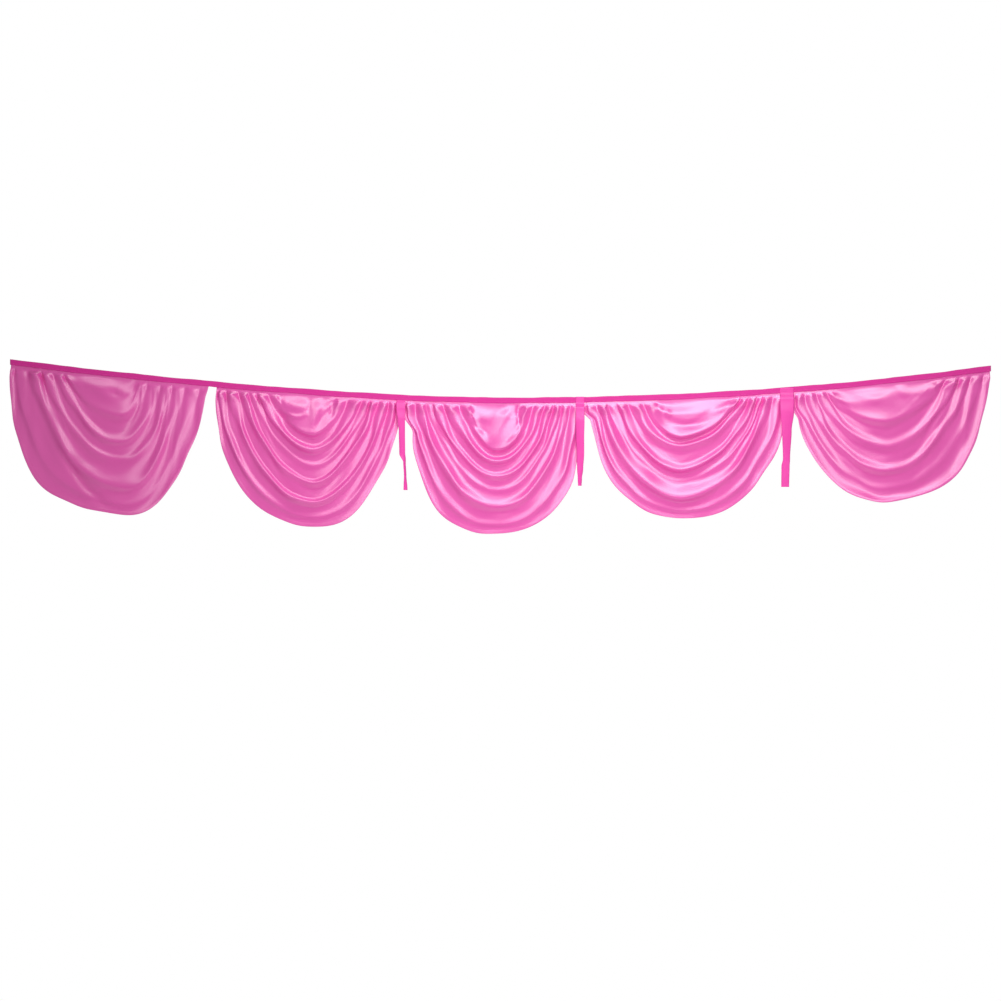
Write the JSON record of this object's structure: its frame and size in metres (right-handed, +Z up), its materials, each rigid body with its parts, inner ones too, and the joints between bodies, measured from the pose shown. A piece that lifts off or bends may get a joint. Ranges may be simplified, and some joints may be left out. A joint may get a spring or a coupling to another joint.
{
  "type": "swag valance",
  "caption": "Scalloped satin swag valance: half-moon swags with cowl folds, pleated into a sagging folded header tape, with thin ribbon ties hanging at the joins.",
  "frame": {"origin": "middle of the header tape's top edge, at mid-length and mid-thickness", "axes": "+X along the valance to the right as seen from the front, +Y to the back so that the front faces -Y, +Z up"},
  "size_m": [3.0002, 0.0309, 0.5352],
  "materials": {
    "satin": "pink satin with a soft sheen",
    "tape": "deeper pink woven tape, folded and stitched",
    "ribbon": "bright pink satin ribbon"
  },
  "bodies": {
    "root": {"header_tape": "tape", "swag_1": "satin", "swag_2": "satin", "swag_3": "satin", "swag_4": "satin", "swag_5": "satin", "tie_1": "ribbon", "tie_2": "ribbon", "tie_3": "ribbon"}
  },
  "joints": []
}
